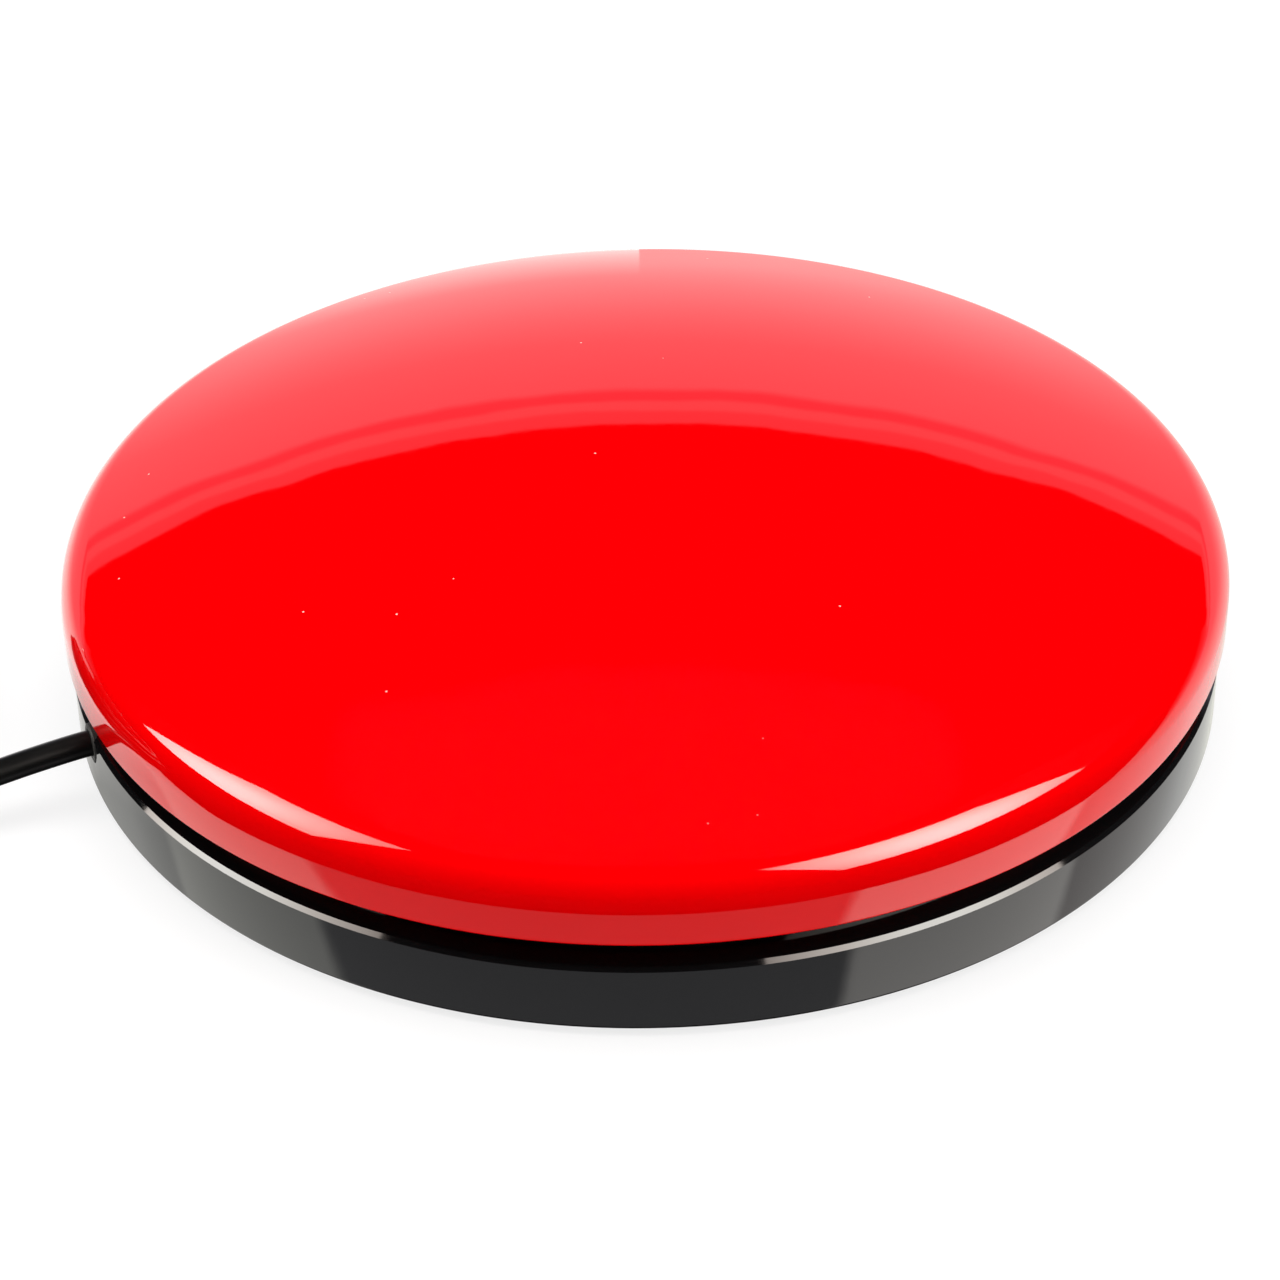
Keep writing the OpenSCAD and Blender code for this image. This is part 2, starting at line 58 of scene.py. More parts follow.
# ---------------------------------------------------------------- sizes, from the frame
cap_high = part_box("cap_dome")[1]
base_low, base_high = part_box("base_tray")
foot_low, foot_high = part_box("front_left_foot")
spring_low, spring_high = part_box("right_return_spring")
washer_low, washer_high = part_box("guide_washers")
pad_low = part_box("pusher_pad")[0]
damper_low, damper_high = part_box("damper_ring")
grommet_low, grommet_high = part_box("cord_grommet")
clamp_low, clamp_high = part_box("cord_clamp")
coil_low, coil_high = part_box("lead_coil")
case_low, case_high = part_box("switch_case")

CAP_R = cap_high.x
APEX_Z = cap_high.z
CAP_WALL = 2.5 * MM
SKIRT_Z = 11.7 * MM
SKIRT_H = 3.7 * MM
SHOULDER_R = 5.1 * MM
LIP_R = 0.35 * MM
PUSHER_R = 4.5 * MM
PAD_H = 2.1 * MM
RIB_HALF_T = 0.8 * MM
RIB_DROP = 2.4 * MM
SHOULDER_X = CAP_R - SHOULDER_R
SHOULDER_Z = SKIRT_Z + SKIRT_H
RISE = APEX_Z - SHOULDER_Z
DOME_R = (SHOULDER_X ** 2 + RISE ** 2 - SHOULDER_R ** 2) / (2 * (RISE - SHOULDER_R))
DOME_Z = APEX_Z - DOME_R
SHOULDER_END = math.atan2(SHOULDER_Z - DOME_Z, SHOULDER_X)

BASE_R = base_high.x
BASE_Z = base_low.z
COLLAR_Z = base_high.z
RIM_Z = 8.5 * MM
RIM_BEVEL = 0.42 * MM
FLOOR_Z = spring_low.z
SHELF_Z = RIM_Z - 2.5 * MM
COLLAR_R = 60 * MM
COLLAR_IN_R = -damper_low.x - 1.8 * MM
WALL_IN_R = BASE_R - 2.5 * MM
LEAD_HOLE_R = 2.2 * MM
FOOT_RECESS_H = 1.2 * MM
# How far a fitting goes into the floor that it stands on
SUNK = 0.4 * MM

GUIDE_R = (spring_low.x + spring_high.x) / 2
GUIDE_ANGLES = [0, 120, 240]
GUIDE_SPOTS = [
    (GUIDE_R * math.cos(math.radians(a)), GUIDE_R * math.sin(math.radians(a))) for a in GUIDE_ANGLES
]
GUIDE_NAMES = ["right", "rear", "front"]
POST_R = 2.5 * MM
BORE_R = POST_R + 0.06 * MM
TURRET_R = 6.2 * MM
COUNTERBORE_R = 4.6 * MM
SCREW_HEAD_R = 2.8 * MM
SCREW_R = 1.2 * MM
WASHER_HOLE_R = 1.25 * MM
COUNTERBORE_Z = washer_high.z + 0.05 * MM
TURRET_Z = COUNTERBORE_Z + 8 * MM
SEAT_R = 8.2 * MM
SPRING_R = (spring_high.x - spring_low.x) / 2
WIRE_R = 0.5 * MM
SEAT_Z = spring_high.z

LEAD_R = 1.4 * MM
CORE_R = 0.55 * MM
LEAD_Z = (grommet_low.z + grommet_high.z) / 2
LIE_ALONG_X = Matrix.Rotation(math.pi / 2, 4, "Y")
COIL_X = (coil_low.x + coil_high.x) / 2
COIL_Y = (coil_low.y + coil_high.y) / 2
COIL_R = 17 * MM
TURN_STEP = 2.9 * MM
TIE_T = coil_low.z
TIE_WIDTH_MM = 6
PLUG_START = Vector((-111.7, 16.7, 15.6)) * MM
PLUG_ANGLE = math.radians(69)
PLUG_DIR = Vector((math.cos(PLUG_ANGLE), math.sin(PLUG_ANGLE), 0))
BOOT_L = 9 * MM
PLUG_BODY_L = 16 * MM
PLUG_BODY_R = 4 * MM
SLEEVE_L = 8.4 * MM
INSULATOR_L = 1 * MM
TIP_L = 4.6 * MM
PLUG_R = 1.75 * MM

# ---------------------------------------------------------------- camera
# The front of the view, as an angle about the upright axis. The lead leaves at the left of it.
FRONT = math.radians(249.2)
CAMERA_DISTANCE = 321.3 * MM
CAMERA_Z = 225.6 * MM
CAMERA_AIM = Vector((-0.58, 0.22, 3.4)) * MM
CAMERA_ROLL = math.radians(-1)
LENS = 98.44


def heading(azimuth):
    """A level direction, azimuth degrees to the right of the view's front."""
    a = FRONT + math.radians(azimuth)
    return Vector((math.cos(a), math.sin(a), 0))


def raised(azimuth, elevation):
    """A direction, azimuth degrees to the right of the front and elevation degrees up."""
    e = math.radians(elevation)
    return heading(azimuth) * math.cos(e) + Vector((0, 0, math.sin(e)))


def add_camera():
    place = heading(0) * CAMERA_DISTANCE + Vector((0, 0, CAMERA_Z))
    bpy.ops.object.camera_add(location=place)
    camera = bpy.context.object
    look = (CAMERA_AIM - place).to_track_quat("-Z", "Y").to_matrix().to_4x4()
    camera.matrix_world = Matrix.Translation(place) @ look @ Matrix.Rotation(CAMERA_ROLL, 4, "Z")
    camera.data.lens = LENS
    camera.data.clip_start = 0.01
    camera.data.clip_end = 30
    bpy.context.scene.camera = camera


# ---------------------------------------------------------------- modelling helpers
def deselect():
    bpy.ops.object.select_all(action="DESELECT")


def pick(piece):
    """Selects one piece alone and makes it the active one."""
    deselect()
    piece.select_set(True)
    bpy.context.view_layer.objects.active = piece


def arc(cx, cz, r, start, end, steps):
    """Points (radius, height) along an arc, with its angles in radians."""
    turn = (end - start) / steps
    return [(cx + r * math.cos(start + i * turn), cz + r * math.sin(start + i * turn))
            for i in range(steps + 1)]


def finish_mesh(piece, name, angle=35):
    """Names a modelled piece, puts its place into its mesh and smooths it below an angle."""
    pick(piece)
    bpy.ops.object.transform_apply(location=True, rotation=True, scale=True)
    bpy.ops.object.shade_smooth_by_angle(angle=math.radians(angle))
    piece.name = name
    piece.data.name = name
    return piece


def drawn(outline, closed):
    """A line through (x, z) points, drawn by extruding from the first. It stays in edit mode."""
    deselect()
    bpy.ops.mesh.primitive_plane_add(size=MM, location=(0, 0, 0))
    piece = bpy.context.object
    bpy.ops.object.mode_set(mode="EDIT")
    bpy.ops.mesh.merge(type="CENTER")
    bpy.ops.transform.translate(value=(outline[0][0], 0, outline[0][1]))
    for a, b in zip(outline, outline[1:] + (outline[:1] if closed else [])):
        bpy.ops.mesh.extrude_region_move(
            TRANSFORM_OT_translate={"value": (b[0] - a[0], 0, b[1] - a[1])}
        )
    bpy.ops.mesh.select_all(action="SELECT")
    return piece


def lathe(name, profile, steps=64, closed=False, angle=35):
    """A turned piece: its profile of (radius, height) points is drawn, then spun."""
    piece = drawn(profile, closed)
    bpy.ops.mesh.spin(steps=steps, angle=math.tau, center=(0, 0, 0), axis=(0, 0, 1))
    bpy.ops.mesh.select_all(action="SELECT")
    bpy.ops.mesh.remove_doubles(threshold=MERGE)
    bpy.ops.mesh.dissolve_degenerate(threshold=0.001 * MM)
    bpy.ops.mesh.normals_make_consistent(inside=False)
    bpy.ops.object.mode_set(mode="OBJECT")
    return finish_mesh(piece, name, angle)


def cylinder(name, r, z0, z1, centre=(0, 0), bevel=0.0):
    """A round bar between two heights, with its rims bevelled."""
    deselect()
    bpy.ops.mesh.primitive_cylinder_add(
        vertices=64, radius=r, depth=z1 - z0, location=(*centre, (z0 + z1) / 2)
    )
    piece = finish_mesh(bpy.context.object, name)
    if bevel:
        bevelled(piece, bevel)
    return piece


def block(name, low, high, bevel=0.0):
    """A box between two corners, with its edges bevelled."""
    deselect()
    low, high = Vector(low), Vector(high)
    bpy.ops.mesh.primitive_cube_add(size=1, location=(low + high) / 2, scale=high - low)
    piece = finish_mesh(bpy.context.object, name)
    if bevel:
        bevelled(piece, bevel)
    return piece


def apply_modifiers(piece):
    pick(piece)
    for m in list(piece.modifiers):
        bpy.ops.object.modifier_apply(modifier=m.name)


def bevelled(piece, width, segments=3):
    """Rounds a piece's sharp edges."""
    m = piece.modifiers.new("edges", "BEVEL")
    m.width = width
    m.segments = segments
    m.limit_method = "ANGLE"
    m.angle_limit = math.radians(40)
    apply_modifiers(piece)
    return finish_mesh(piece, piece.name)


def cut(piece, *tools):
    """Cuts tools out of a piece and removes the tools."""
    for tool in tools:
        m = piece.modifiers.new(tool.name, "BOOLEAN")
        m.operation = "DIFFERENCE"
        m.object = tool
        m.solver = "EXACT"
        apply_modifiers(piece)
        bpy.data.objects.remove(tool)
    return finish_mesh(piece, piece.name)


def join(name, *pieces):
    """Makes one piece of several that stay as they are."""
    deselect()
    for p in pieces:
        p.select_set(True)
    bpy.context.view_layer.objects.active = pieces[0]
    bpy.ops.object.join()
    return finish_mesh(pieces[0], name)


def turned(piece, matrix):
    """Moves a piece's mesh by a matrix."""
    piece.matrix_world = matrix @ piece.matrix_world
    return finish_mesh(piece, piece.name)


def round_the_guides(piece, names):
    """Copies a piece made at the first guide to the others, each with its own mesh."""
    made = [piece]
    for angle, name in zip(GUIDE_ANGLES[1:], names[1:]):
        pick(piece)
        bpy.ops.object.duplicate(linked=False)
        copy = bpy.context.object
        copy.name = name
        made.append(turned(copy, Matrix.Rotation(math.radians(angle), 4, "Z")))
    piece.name = names[0]
    return made


def softened(node, width):
    """A copy of a CAD node with its triangles merged and its sharp edges rounded."""
    copy = bpy.data.objects.new(node + "_piece", frame["nodes"][node].data.copy())
    bpy.context.scene.collection.objects.link(copy)
    copy.data.materials.clear()
    pick(copy)
    bpy.ops.object.mode_set(mode="EDIT")
    bpy.ops.mesh.select_all(action="SELECT")
    bpy.ops.mesh.remove_doubles(threshold=MERGE)
    bpy.ops.mesh.customdata_custom_splitnormals_clear()
    bpy.ops.mesh.dissolve_limited(angle_limit=math.radians(1), use_dissolve_boundaries=False)
    bpy.ops.object.mode_set(mode="OBJECT")
    bevelled(copy, width, segments=2)
    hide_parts(node)
    return copy


def tube_curve(name, points, radius, resolution):
    """A round bar of one open spline through points."""
    curve = bpy.data.curves.new(name, "CURVE")
    curve.dimensions = "3D"
    spline = curve.splines.new("POLY")
    spline.points.add(len(points) - 1)
    for p, co in zip(spline.points, points):
        p.co = (*co, 1)
    spline.use_smooth = True
    curve.bevel_depth = radius
    curve.bevel_resolution = resolution
    curve.use_fill_caps = True
    piece = bpy.data.objects.new(name, curve)
    bpy.context.scene.collection.objects.link(piece)
    return piece


def to_mesh(piece):
    pick(piece)
    bpy.ops.object.convert(target="MESH")
    return finish_mesh(bpy.context.object, piece.name, 60)


def smooth_path(points, steps):
    """A smooth curve through points, with steps pieces between each pair of them."""
    points = [Vector(p) for p in points]
    ends = [points[0] * 2 - points[1]] + points + [points[-1] * 2 - points[-2]]
    path = []
    for i in range(1, len(ends) - 2):
        a, b, c, d = ends[i - 1:i + 3]
        for k in range(steps):
            t = k / steps
            path.append(0.5 * (
                2 * b + (c - a) * t + (2 * a - 5 * b + 4 * c - d) * t ** 2
                + (3 * b - a - 3 * c + d) * t ** 3
            ))
    return path + [points[-1]]


# ---------------------------------------------------------------- materials
def grey(value):
    return (value, value, value)


class Socket:
    """A shader socket that can be used in sums as a number is."""

    def __init__(self, look, socket):
        self.look = look
        self.socket = socket

    def _math(self, operation, *values):
        return self.look.node("ShaderNodeMath", {"operation": operation}, dict(enumerate(values)))

    def __add__(self, other):
        return self._math("ADD", self, other)

    def __radd__(self, other):
        return self._math("ADD", other, self)

    def __sub__(self, other):
        return self._math("SUBTRACT", self, other)

    def __rsub__(self, other):
        return self._math("SUBTRACT", other, self)

    def __mul__(self, other):
        return self._math("MULTIPLY", self, other)

    def __rmul__(self, other):
        return self._math("MULTIPLY", other, self)

    def __gt__(self, other):
        return self._math("GREATER_THAN", self, other)

    def __lt__(self, other):
        return self._math("LESS_THAN", self, other)


class Look:
    """A material in the making."""

    def __init__(self, name, color, roughness, **constants):
        self.material = bpy.data.materials.new(name)
        self.material.use_nodes = True
        self.tree = self.material.node_tree
        self.shader = self.tree.nodes["Principled BSDF"]
        self.shader.inputs["Base Color"].default_value = (*color, 1)
        self.shader.inputs["Roughness"].default_value = roughness
        for key, value in constants.items():
            socket = key.replace("_", " ").title().replace("Ior", "IOR")
            self.shader.inputs[socket].default_value = value
        self.material.diffuse_color = (*color, 1)
        self.place = self.node("ShaderNodeTexCoord", output="Object")

    def node(self, kind, settings=None, inputs=None, output=0):
        """Adds a node with its settings and the values or links of its sockets."""
        n = self.tree.nodes.new(kind)
        for key, value in (settings or {}).items():
            if key == "stops":
                ramp = n.color_ramp.elements
                while len(ramp) < len(value):
                    ramp.new(0.5)
                for stop, (at, color) in zip(ramp, value):
                    stop.position = at
                    stop.color = (*color, 1)
            else:
                setattr(n, key, value)
        for key, value in (inputs or {}).items():
            if isinstance(value, Socket):
                self.tree.links.new(value.socket, n.inputs[key])
            elif value is not None:
                n.inputs[key].default_value = value
        return Socket(self, n.outputs[output])

    def set(self, name, value):
        self.tree.links.new(value.socket, self.shader.inputs[name])

    def noise(self, scale, detail=4, roughness=0.55, place=None):
        return self.node("ShaderNodeTexNoise", {}, {
            "Vector": place or self.place, "Scale": scale, "Detail": detail, "Roughness": roughness
        })

    def range(self, value, low, high, to_low=0.0, to_high=1.0):
        return self.node("ShaderNodeMapRange", {"clamp": True}, {
            0: value, 1: low, 2: high, 3: to_low, 4: to_high
        })

    def mix(self, factor, a, b):
        """Colour a where factor is 0, and b where it is 1."""
        a, b = (c if isinstance(c, Socket) else (*c, 1) for c in (a, b))
        return self.node("ShaderNodeMix", {"data_type": "RGBA"}, {0: factor, 6: a, 7: b}, output=2)

    def bump(self, height, distance, strength):
        self.set("Normal", self.node("ShaderNodeBump", {}, {
            "Height": height, "Distance": distance, "Strength": strength
        }, output="Normal"))

    def specks(self, scale, size, share):
        """Small round specks in a few cells of a lattice of random points."""
        lattice = {"Vector": self.place, "Scale": scale}
        near = self.node("ShaderNodeTexVoronoi", {}, lattice, "Distance")
        cell = self.node("ShaderNodeTexVoronoi", {}, lattice, "Color")
        red = self.node("ShaderNodeSeparateColor", {}, {0: cell})
        return (near < size) * (red < share)


def red_gloss():
    """Polished red plastic, with dust and the finest of wear."""
    look = Look("red_cap", (0.85, 0.0, 0.001), 0.03, ior=1.5)
    dust = look.specks(260, 0.03, 0.4)
    haze = look.noise(14, 3)
    look.set("Base Color", look.mix(
        dust, look.mix(haze, (0.87, 0.0, 0.0008), (0.83, 0.0, 0.001)), (0.9, 0.4, 0.35)
    ))
    fine = look.noise(900, 2)
    look.set("Roughness", look.range(fine, 0.3, 0.8, 0.02, 0.05) + dust * 0.5)
    return look.material


def black_gloss():
    """Polished black plastic."""
    look = Look("black_base", (0.006, 0.006, 0.0065), 0.05, ior=1.5)
    haze = look.noise(22, 4)
    look.set("Base Color", look.mix(haze, (0.005, 0.005, 0.0055), (0.008, 0.008, 0.0085)))
    fine = look.noise(700, 3)
    dust = look.specks(220, 0.03, 0.02)
    look.set("Roughness", look.range(fine, 0.3, 0.8, 0.03, 0.085) + dust * 0.4)
    return look.material


def moulded(name, color, roughness, grain=0.02):
    """Satin moulded plastic or rubber with a fine spark-eroded grain."""
    look = Look(name, color, roughness)
    grain_map = look.noise(2600, 3)
    cloud = look.noise(60, 4)
    dark = tuple(c * 0.8 for c in color)
    light = tuple(min(1, c * 1.25 + 0.002) for c in color)
    look.set("Base Color", look.mix(cloud, dark, light))
    look.set("Roughness", look.range(cloud, 0.3, 0.7, roughness - 0.06, roughness + 0.06))
    look.bump(grain_map, grain * MM, 0.6)
    return look.material


def metal(name, color, roughness, stretch=(1, 1, 30)):
    """Plated or rolled metal with fine drawn lines."""
    look = Look(name, color, roughness, metallic=1.0)
    drawn = look.node("ShaderNodeMapping", {}, {0: look.place, 3: stretch})
    lines = look.noise(700, 5, 0.7, drawn)
    stain = look.noise(180, 3)
    look.set("Base Color", look.mix(stain, tuple(c * 0.86 for c in color), color))
    look.set("Roughness", look.range(lines, 0.3, 0.7, roughness * 0.7, roughness * 1.4))
    look.bump(lines, 0.004 * MM, 0.5)
    return look.material


def lead_jacket():
    """Extruded black jacket: satin, with a faint fine grain and a little dust."""
    look = Look("lead_jacket", grey(0.004), 0.38, specular_ior_level=0.25)
    cloud = look.noise(90, 5)
    dust = look.specks(700, 0.1, 0.05)
    look.set("Base Color", look.mix(
        dust * 0.5, look.mix(cloud, grey(0.002), grey(0.006)), grey(0.15)
    ))
    look.set("Roughness", look.range(cloud, 0.3, 0.7, 0.3, 0.46))
    look.bump(look.noise(1800, 4), 0.015 * MM, 0.5)
    return look.material


def woven_strap():
    """Black hook-and-loop strap with a tight looped face."""
    look = Look("hook_tie", grey(0.02), 0.9)
    loops = look.node("ShaderNodeTexVoronoi", {}, {"Vector": look.place, "Scale": 2600}, "Distance")
    thread = look.mix(look.range(loops, 0, 0.6), (0.035, 0.035, 0.036), grey(0.008))
    look.set("Base Color", thread)
    look.bump(loops, 0.12 * MM, 0.9)
    return look.material


MATERIALS = {
    "red_cap": red_gloss(),
    "black_base": black_gloss(),
    "zinc_screw": metal("zinc_screw", (0.62, 0.63, 0.65), 0.28),
    "zinc_washer": metal("zinc_washer", (0.66, 0.67, 0.68), 0.3, (30, 30, 1)),
    "grey_nylon": moulded("grey_nylon", (0.12, 0.12, 0.125), 0.45),
    "black_foam": moulded("black_foam", grey(0.02), 0.85, 0.08),
    "black_rubber": moulded("black_rubber", grey(0.022), 0.7, 0.05),
    "soft_black": moulded("soft_black", grey(0.004), 0.62, 0.01),
    "black_nylon": moulded("black_nylon", (0.03, 0.03, 0.032), 0.5),
    "spring_wire": metal("spring_wire", (0.55, 0.56, 0.58), 0.25, (1, 1, 1)),
    "switch_body": moulded("switch_body", (0.04, 0.04, 0.045), 0.55, 0.03),
    "pin_steel": metal("pin_steel", (0.6, 0.6, 0.62), 0.22, (1, 30, 1)),
    "lever_steel": metal("lever_steel", (0.68, 0.68, 0.69), 0.3, (1, 30, 30)),
    "red_plunger": moulded("red_plunger", (0.5, 0.03, 0.02), 0.4, 0.01),
    "blade_copper": metal("blade_copper", (0.72, 0.45, 0.24), 0.28, (1, 30, 30)),
    "contact_brass": metal("contact_brass", (0.78, 0.6, 0.3), 0.3),
    "white_wire": moulded("white_wire", (0.8, 0.8, 0.78), 0.4, 0.01),
    "blue_wire": moulded("blue_wire", (0.03, 0.06, 0.3), 0.4, 0.01),
    "lead_jacket": lead_jacket(),
    "hook_tie": woven_strap(),
    "plug_black": moulded("plug_black", grey(0.014), 0.45, 0.03),
    "plug_nickel": metal("plug_nickel", (0.78, 0.77, 0.74), 0.16, (1, 1, 1)),
    "plug_ring": moulded("plug_ring", grey(0.02), 0.4, 0.01),
}
SLOT_OF = {s["node"]: s["material_slot"] for s in frame["record"]["subparts"]}


def dress(piece, slot, body, *nodes):
    """Gives a piece its material and its body, and hides the CAD nodes that it stands for."""
    piece.data.materials.clear()
    piece.data.materials.append(MATERIALS[slot])
    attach(piece, body)
    if nodes:
        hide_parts(*nodes)
    return piece


# ---------------------------------------------------------------- cap
def cap_profile(inset, dome_steps, shoulder_steps):
    """The cap's outline from its axis down to the top of the skirt, smaller by an inset."""
    dome = arc(0, DOME_Z, DOME_R - inset, math.pi / 2, SHOULDER_END, dome_steps)
    shoulder = arc(SHOULDER_X, SHOULDER_Z, SHOULDER_R - inset, SHOULDER_END, 0, shoulder_steps)
    return dome + shoulder[1:]


def underside(r):
    """The height of the cap's inner surface at a distance from its axis."""
    return DOME_Z + math.sqrt((DOME_R - CAP_WALL) ** 2 - r ** 2)


def make_cap():
    outer = cap_profile(0, 56, 30)
    lip_out = arc(CAP_R - LIP_R, SKIRT_Z + LIP_R, LIP_R, 0, -math.pi / 2, 5)
    lip_in = arc(CAP_R - CAP_WALL + LIP_R, SKIRT_Z + LIP_R, LIP_R, -math.pi / 2, -math.pi, 5)
    inner = cap_profile(CAP_WALL, 28, 14)[::-1]
    shell = lathe("cap_shell", outer + lip_out + lip_in + inner, steps=256, angle=50)
    dress(shell, "red_cap", "cap", "cap_dome")

    inside = [
        cylinder("pusher_post", PUSHER_R, pad_low.z + PAD_H, APEX_Z - CAP_WALL / 2, bevel=0.3 * MM)
    ]
    seat_top = underside(GUIDE_R + SEAT_R) + 0.6 * MM
    for angle, spot in zip(GUIDE_ANGLES, GUIDE_SPOTS):
        inside.append(cylinder("post", POST_R, washer_high.z, SEAT_Z + MM, spot, bevel=0.2 * MM))
        inside.append(cylinder("seat", SEAT_R, SEAT_Z, seat_top, spot, bevel=0.3 * MM))
        rib = block(
            "rib", (0, -RIB_HALF_T, underside(0) - RIB_DROP),
            (GUIDE_R - 9.4 * MM, RIB_HALF_T, underside(0) - 0.9 * MM), bevel=0.2 * MM
        )
        inside.append(turned(rib, Matrix.Rotation(math.radians(angle), 4, "Z")))
    posts = join("cap_posts", *inside)
    dress(posts, "red_cap", "cap", "cap_dome")


# ---------------------------------------------------------------- base
def make_base():
    edge = 0.5 * MM
    profile = (
        [(0, BASE_Z)]
        + arc(BASE_R - edge, BASE_Z + edge, edge, -math.pi / 2, 0, 6)
        + [(BASE_R, RIM_Z - RIM_BEVEL), (BASE_R - RIM_BEVEL, RIM_Z), (COLLAR_R, RIM_Z)]
        + arc(COLLAR_R - edge, COLLAR_Z - edge, edge, 0, math.pi / 2, 4)
        + [(COLLAR_IN_R, COLLAR_Z), (COLLAR_IN_R, SHELF_Z), (WALL_IN_R, SHELF_Z)]
        + [(WALL_IN_R, FLOOR_Z), (0, FLOOR_Z)]
    )
    shell = lathe("base_shell", profile, steps=256, angle=40)
    low = BASE_Z - MM
    cuts = []
    turrets = []
    for spot in GUIDE_SPOTS:
        cuts.append(cylinder("counterbore", COUNTERBORE_R, low, FLOOR_Z + 0.1 * MM, spot))
        ring = [
            (COUNTERBORE_R, BASE_Z + 0.05 * MM), (TURRET_R, BASE_Z + 0.05 * MM),
            (TURRET_R, TURRET_Z - 0.4 * MM), (TURRET_R - 0.4 * MM, TURRET_Z),
            (BORE_R + 0.3 * MM, TURRET_Z), (BORE_R, TURRET_Z - 0.3 * MM),
            (BORE_R, COUNTERBORE_Z), (COUNTERBORE_R, COUNTERBORE_Z),
        ]
        turret = lathe("turret", ring, closed=True)
        turrets.append(turned(turret, Matrix.Translation((*spot, 0))))
    foot_spot = (foot_low + foot_high) / 2
    foot_r = (foot_high.x - foot_low.x) / 2 + 0.08 * MM
    for x in (-1, 1):
        for y in (-1, 1):
            spot = (abs(foot_spot.x) * x, abs(foot_spot.y) * y)
            cuts.append(cylinder("recess", foot_r, low, BASE_Z + FOOT_RECESS_H, spot))
    hole = cylinder("hole", LEAD_HOLE_R, -4 * MM, 4 * MM)
    middle = Vector((-(BASE_R + COLLAR_IN_R) / 2, 0, LEAD_Z))
    cuts.append(turned(hole, Matrix.Translation(middle) @ LIE_ALONG_X))
    cut(shell, *cuts)
    dress(shell, "black_base", "base", "base_tray")
    dress(join("base_turrets", *turrets), "black_base", "base", "base_tray")

    wall_y = case_low.y - 0.05 * MM
    wall = block(
        "switch_wall", (case_low.x - 2 * MM, wall_y - 2.5 * MM, FLOOR_Z - SUNK),
        (case_high.x + 2 * MM, wall_y, case_low.z + 4.5 * MM), bevel=0.35 * MM
    )
    seat = block(
        "clamp_seat", (clamp_low.x, clamp_low.y, FLOOR_Z - SUNK),
        (clamp_high.x, clamp_high.y, LEAD_Z), bevel=0.25 * MM
    )
    groove = cylinder("groove", LEAD_R + 0.05 * MM, -6 * MM, 6 * MM)
    middle = Vector(((clamp_low.x + clamp_high.x) / 2, 0, LEAD_Z))
    cut(seat, turned(groove, Matrix.Translation(middle) @ LIE_ALONG_X))
    dress(join("base_fittings", wall, seat), "black_base", "base", "base_tray")

    bead = 0.45 * MM
    inner, outer = COLLAR_IN_R + 0.02 * MM, damper_high.x
    ring = (
        [(inner, damper_low.z), (outer, damper_low.z)]
        + arc(outer - bead, damper_high.z - bead, bead, 0, math.pi / 2, 5)
        + arc(inner + bead, damper_high.z - bead, bead, math.pi / 2, math.pi, 5)
    )
    damper = lathe("damper_ring_piece", ring, steps=192, closed=True)
    dress(damper, "black_foam", "base", "damper_ring")


def make_feet():
    r = (foot_high.x - foot_low.x) / 2
    top = foot_high.z
    edge = 0.5 * MM
    profile = (
        [(0, 0.12 * MM), (r - 2.4 * MM, 0.12 * MM), (r - 2.1 * MM, 0)]
        + arc(r - edge, edge, edge, -math.pi / 2, 0, 6)
        + [(r, top), (0, top)]
    )
    for node in ("front_left_foot", "front_right_foot", "rear_left_foot", "rear_right_foot"):
        low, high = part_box(node)
        foot = lathe(node + "_piece", profile)
        turned(foot, Matrix.Translation(((low.x + high.x) / 2, (low.y + high.y) / 2, 0)))
        dress(foot, "black_rubber", "base", node)


# ---------------------------------------------------------------- guides and springs
def cross_recess(top, size):
    """A cross-shaped cutter for a screw's head that faces down."""
    bars = []
    for turn in (0, 90):
        bar = block("bar", (-size, -size * 0.18, 0), (size, size * 0.18, size * 0.6))
        turned(bar, Matrix.Rotation(math.radians(turn), 4, "Z"))
        bars.append(turned(bar, Matrix.Translation((0, 0, top))))
    return bars


def screw(name, head_r, head_h, shank_r, shank_l):
    """A pan-head screw with its head below z = 0 and its threaded shank above."""
    pitch = 0.6 * MM
    head = (
        [(0, -head_h)]
        + arc(head_r - 0.7 * head_h, -0.3 * head_h, 0.7 * head_h, -math.pi / 2, 0, 6)
        + [(head_r, 0), (shank_r, 0)]
    )
    turns = int((shank_l - MM) / pitch)
    thread = []
    for i in range(turns):
        z = 0.4 * MM + i * pitch
        thread += [(shank_r * 0.86, z), (shank_r, z + 0.4 * pitch), (shank_r, z + 0.6 * pitch)]
    tip = [(shank_r * 0.8, shank_l - 0.5 * MM), (shank_r * 0.5, shank_l), (0, shank_l)]
    piece = lathe(name, head + thread + tip, steps=40, angle=30)
    return cut(piece, *cross_recess(-head_h - 0.1 * MM, head_r * 0.6))


